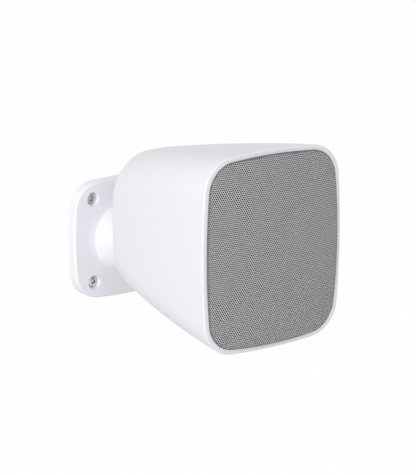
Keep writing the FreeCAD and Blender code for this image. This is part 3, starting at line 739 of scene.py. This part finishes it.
def finish(name, group, tints, rough, relief, settings=None, sizes=None):
    """A Principled material; tints and rough are pairs, relief is the bump's depth in millimetres."""
    material = bpy.data.materials.new(name)
    material.use_nodes = True
    tree = material.node_tree
    shader = tree.nodes["Principled BSDF"]
    pattern = tree.nodes.new("ShaderNodeGroup")
    pattern.node_tree = group
    for label, value in (sizes or {}).items():
        pattern.inputs[label].default_value = value
    mix = tree.nodes.new("ShaderNodeMix")
    mix.data_type = "RGBA"
    mix.inputs[MIX_A].default_value = (*tints[0], 1)
    mix.inputs[MIX_B].default_value = (*tints[1], 1)
    tree.links.new(pattern.outputs["Tone"], mix.inputs[MIX_FACTOR])
    tree.links.new(mix.outputs[MIX_RESULT], shader.inputs["Base Color"])
    gloss = tree.nodes.new("ShaderNodeMapRange")
    gloss.inputs["To Min"].default_value = rough[0]
    gloss.inputs["To Max"].default_value = rough[1]
    tree.links.new(pattern.outputs["Tone"], gloss.inputs["Value"])
    tree.links.new(gloss.outputs["Result"], shader.inputs["Roughness"])
    bump = tree.nodes.new("ShaderNodeBump")
    bump.inputs["Strength"].default_value = bump_strength
    bump.inputs["Distance"].default_value = relief * MM
    tree.links.new(pattern.outputs["Height"], bump.inputs["Height"])
    tree.links.new(bump.outputs["Normal"], shader.inputs["Normal"])
    for label, value in (settings or {}).items():
        shader.inputs[label].default_value = value
    return material


def grey(value, warmth=0.0):
    """A grey with a little more red and less blue where warmth is above 0."""
    return (value * (1 + warmth), value, value * (1 - warmth))


def dress(material, *items):
    """Puts the material on CAD nodes, by name, or on new pieces."""
    for item in items:
        piece = nodes[item] if isinstance(item, str) else item
        piece.data.materials.clear()
        piece.data.materials.append(material)


print("finish helpers ready")

# %% [markdown]
# ## The white mouldings
# The cabinet, the plate and the neck are satin white plastic with a slightly cool tone. The plate and the
# neck come from another mould and are glossier, so they get a finish of their own with a finer grain. Their
# paler tint is painted light, which makes them brighter than the cabinet's white.

# %% Dress the white mouldings
white_housing = finish(
    "white_housing", grain_group, tints=[(0.815, 0.81, 0.86), (0.86, 0.855, 0.90)],
    rough=(0.36, 0.46), relief=0.012)
# The plate's and the neck's paler tint is painted light: it brightens them beyond the cabinet's white.
white_bracket = finish(
    "white_bracket", grain_group, tints=[(0.90, 0.89, 0.94), (0.93, 0.915, 0.96)],
    rough=(0.30, 0.38), relief=0.008, sizes={"Grain scale": 3200.0, "Cloud scale": 40.0})
dress(white_housing, "cabinet_shell")
dress(white_bracket, "wall_plate", "neck")
print("white mouldings dressed")

# %% [markdown]
# ## The front: painted grille, black cloth and black mouldings
# The grille's powder paint is a light neutral grey. The cloth behind it is black, so every hole reads as a
# dark dot. The folded border's paint is darker, chosen against the picture: it stands in for the dark holes
# and for the shadow in the gap along the rim, so it is in part painted shade. The solid grille that the
# sheet replaces gets the same paint as the sheet, so that no node stays bare.

# %% Dress the front
grille_paint = finish(
    "grille_paint", paint_group, tints=[grey(0.63), grey(0.71)], rough=(0.42, 0.55), relief=0.02)
# The border's dark grey is in part painted shade: the shadow in the gap along the rim, painted on the fold.
grille_edge_painted_shade = finish(
    "grille_edge_painted_shade", paint_group, tints=[grey(0.13), grey(0.17)], rough=(0.42, 0.55), relief=0.02)
black_cloth = finish(
    "black_cloth", weave_group, tints=[grey(0.006), (0.022, 0.022, 0.023)], rough=(0.85, 0.98), relief=0.15,
    settings={"Sheen Weight": 0.2, "Specular IOR Level": 0.2})
black_plastic = finish(
    "black_plastic", grain_group, tints=[grey(0.018), grey(0.032)], rough=(0.42, 0.58), relief=0.02)
foam_seal = finish(
    "foam_seal", grain_group, tints=[grey(0.018), grey(0.05)], rough=(0.85, 0.97), relief=0.12,
    settings={"Specular IOR Level": 0.2}, sizes={"Grain scale": 1500.0, "Cloud scale": 120.0})
dress(grille_paint, sheet, "grille")
dress(grille_edge_painted_shade, border)
dress(black_cloth, "grille_cloth")
dress(black_plastic, "baffle", "socket_clamp")
dress(foam_seal, "baffle_seal", "driver_gasket")
print("front dressed")

# %% [markdown]
# ## Metals
# Zinc-plated steel for the screws and the magnet system, chrome for the ball, brass for the tags, copper for
# the coil, and painted steel for the basket. All but the paint share the turned rings and differ in colour
# and gloss.

# %% Dress the metals
METAL = {"Metallic": 1.0}
screw_steel = finish(
    "screw_steel", ring_group, tints=[grey(0.60, -0.01), grey(0.74, -0.01)], rough=(0.22, 0.36), relief=0.01,
    settings=METAL)
plated_steel = finish(
    "plated_steel", ring_group, tints=[(0.50, 0.51, 0.50), (0.64, 0.64, 0.62)], rough=(0.28, 0.45),
    relief=0.02, settings=METAL)
chrome = finish(
    "chrome", ring_group, tints=[grey(0.62, -0.015), grey(0.72, -0.015)], rough=(0.06, 0.16), relief=0.002,
    settings=METAL)
brass = finish(
    "brass", ring_group, tints=[(0.60, 0.43, 0.16), (0.72, 0.54, 0.24)], rough=(0.25, 0.42), relief=0.01,
    settings=METAL)
copper = finish(
    "copper", ring_group, tints=[(0.55, 0.22, 0.08), (0.72, 0.33, 0.14)], rough=(0.22, 0.38), relief=0.06,
    settings=METAL, sizes={"Ring scale": 5200.0})
basket_paint = finish(
    "basket_paint", paint_group, tints=[grey(0.014), grey(0.03)], rough=(0.38, 0.55), relief=0.03)
dress(screw_steel, wall_screws, neck_screws, "wall_screws", "neck_screws")
dress(screw_steel, "baffle_screws", "driver_screws", "clamp_screws")
dress(plated_steel, "top_plate", "pole_yoke")
dress(chrome, "ball_stud")
dress(brass, "terminal_tags", "connection_screws")
dress(copper, "coil_winding")
dress(basket_paint, "driver_basket")
print("metals dressed")

# %% [markdown]
# ## The driver's soft parts
# The cone and its cap are pressed paper, the surround is rubber, the spider is cloth stiffened with amber
# resin, and the coil is wound on a tube of amber film. They are solids with the right shape already, so they
# only need their finishes.

# %% Dress the driver's soft parts
paper = finish(
    "paper", fibre_group, tints=[grey(0.012), grey(0.05)], rough=(0.72, 0.9), relief=0.05,
    settings={"Specular IOR Level": 0.3})
black_rubber = finish(
    "black_rubber", grain_group, tints=[grey(0.012), grey(0.028)], rough=(0.5, 0.68), relief=0.015,
    sizes={"Grain scale": 1900.0})
treated_cloth = finish(
    "treated_cloth", weave_group, tints=[(0.26, 0.13, 0.03), (0.52, 0.31, 0.08)], rough=(0.45, 0.7),
    relief=0.12)
former_film = finish(
    "former_film", fibre_group, tints=[(0.26, 0.12, 0.02), (0.38, 0.19, 0.04)], rough=(0.25, 0.4),
    relief=0.01)
dress(paper, "cone", "dust_cap")
dress(black_rubber, "surround", "cable_grommet")
dress(treated_cloth, "spider")
dress(former_film, "coil_former")
print("soft parts dressed")

# %% [markdown]
# ## The magnet and the small mouldings
# The ferrite magnet is dull and granular, the tag board is laminated paper, and the liners of the ball are
# natural nylon, which lets a little light in. The last line lists any node that was forgotten.

# %% Dress the rest
ferrite = finish(
    "ferrite", grain_group, tints=[grey(0.03), grey(0.07)], rough=(0.5, 0.75), relief=0.03,
    settings={"Metallic": 0.15}, sizes={"Grain scale": 1400.0, "Cloud scale": 300.0})
board = finish(
    "board", fibre_group, tints=[(0.14, 0.06, 0.02), (0.24, 0.12, 0.04)], rough=(0.5, 0.68), relief=0.03)
nylon = finish(
    "nylon", grain_group, tints=[(0.56, 0.56, 0.50), (0.64, 0.64, 0.58)], rough=(0.38, 0.5), relief=0.01,
    settings={"Subsurface Weight": 0.1})
terminal_plastic = finish(
    "terminal_plastic", grain_group, tints=[(0.52, 0.54, 0.49), (0.6, 0.62, 0.57)], rough=(0.35, 0.5),
    relief=0.015)
dress(ferrite, "magnet")
dress(board, "tag_board")
dress(nylon, "friction_cup", "friction_ring")
dress(terminal_plastic, "connection_block")
print("nodes without a finish:", [name for name, node in nodes.items() if not node.data.materials])

# %% [markdown]
# ## The floor
# The picture has a seamless white ground. More light on a white floor would wash the speaker out. Instead the
# floor, well under the speaker, glows white only to the rays that show it, from the camera or in a
# reflection, with a small share of matte grey that keeps the soft shadow. All other rays meet the matte grey.

# %% Lay the floor
floor_drop = 0.22
floor_size = 14
floor_grey = 0.55
glow_share = 0.99
start_fresh()
floor_z = cad_low.z - floor_drop
bpy.ops.mesh.primitive_plane_add(size=floor_size, location=(0, 0, floor_z))
floor = bpy.context.object
floor.name = "floor"
print("floor at", round(floor_z / MM), "mm")

# %% Make the floor white to the camera


def seen(tree):
    """1 for rays that show the ground itself: from the camera, a mirror or glass."""
    rays = tree.nodes.new("ShaderNodeLightPath")
    first = calc(tree, "MAXIMUM", rays.outputs["Is Camera Ray"], rays.outputs["Is Glossy Ray"])
    return calc(tree, "MAXIMUM", first, rays.outputs["Is Transmission Ray"])


floor_white = bpy.data.materials.new("floor_white")
floor_white.use_nodes = True
tree = floor_white.node_tree
tree.nodes.remove(tree.nodes["Principled BSDF"])
matte = tree.nodes.new("ShaderNodeBsdfDiffuse")
matte.inputs["Color"].default_value = (*grey(floor_grey), 1)
glow = tree.nodes.new("ShaderNodeEmission")
blend = tree.nodes.new("ShaderNodeMixShader")
tree.links.new(calc(tree, "MULTIPLY", seen(tree), glow_share), blend.inputs[0])
tree.links.new(matte.outputs[0], blend.inputs[1])
tree.links.new(glow.outputs[0], blend.inputs[2])
tree.links.new(blend.outputs[0], tree.nodes["Material Output"].inputs["Surface"])
floor.data.materials.append(floor_white)
print("floor glows with a share of", glow_share)

# %% [markdown]
# ## The light
# The light is a pale dome, which looks white to the camera and in reflections and is weaker as a light, so
# that the white plastic keeps its shading. A wide soft lamp stands on the left, where the picture's bright
# side is, and a weaker one in front. Sun lamps would throw hard shadows, so both are large discs.

# %% Build the dome
dome_level = 0.70
world = bpy.data.worlds.new("pale_dome")
world.use_nodes = True
bpy.context.scene.world = world
tree = world.node_tree
level = tree.nodes.new("ShaderNodeMapRange")
level.inputs["To Min"].default_value = dome_level
level.inputs["To Max"].default_value = 1.0
tree.links.new(seen(tree), level.inputs["Value"])
tree.links.new(level.outputs["Result"], tree.nodes["Background"].inputs["Strength"])
tree.nodes["Background"].inputs["Color"].default_value = (1, 1, 1, 1)
bpy.context.scene.view_settings.view_transform = "Standard"
print("dome at", dome_level)

# %% Set up the lamps
lamp_target = Vector((0, -0.1, 0.02))


def lamp(name, place, size, watts):
    """A round lamp that looks at the speaker."""
    bpy.ops.object.light_add(type="AREA", location=place)
    light = bpy.context.object
    light.name = name
    light.data.shape = "DISK"
    light.data.size = size
    light.data.energy = watts
    light.rotation_mode = "QUATERNION"
    light.rotation_quaternion = (Vector(place) - lamp_target).to_track_quat("Z", "Y")
    print(name, "of", watts, "W")


start_fresh()
lamp("left_lamp", place=(-1.5, -0.75, 0.2), size=1.1, watts=13.5)
lamp("front_lamp", place=(-0.6, -1.8, 0.6), size=1.2, watts=4.0)
